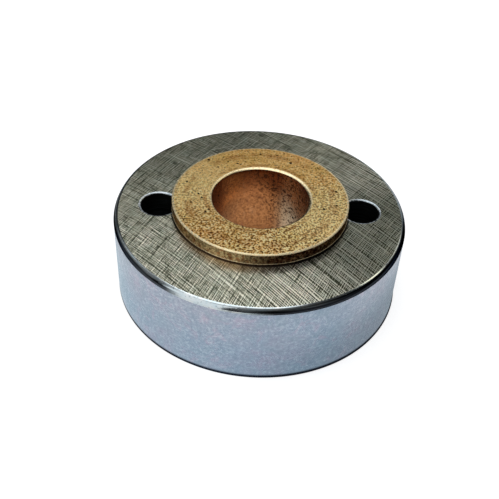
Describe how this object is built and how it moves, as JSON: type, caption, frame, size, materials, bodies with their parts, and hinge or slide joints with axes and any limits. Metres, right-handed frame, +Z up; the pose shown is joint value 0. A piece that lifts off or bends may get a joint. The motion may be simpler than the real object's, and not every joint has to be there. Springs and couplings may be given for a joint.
{
  "type": "flanged bronze bushing in a steel collar",
  "caption": "Round zinc-plated steel collar with a flanged sintered bronze bushing pressed into its bore and a small through hole either side of the flange.",
  "frame": {"origin": "centre of the collar's underside, on the bore's axis", "axes": "+Z up along the bore, out of the bushing's flange; the two small holes lie on the X axis"},
  "size_m": [0.045, 0.045, 0.0155],
  "materials": {
    "zinc_plated_steel": "bright zinc-plated side and rounded edge, belt-ground top and underside",
    "sintered_bronze": "matt porous sintered bronze with a smoother coppery bore"
  },
  "bodies": {
    "root": {"steel_collar": "zinc_plated_steel", "flanged_bushing": "sintered_bronze"}
  },
  "joints": []
}
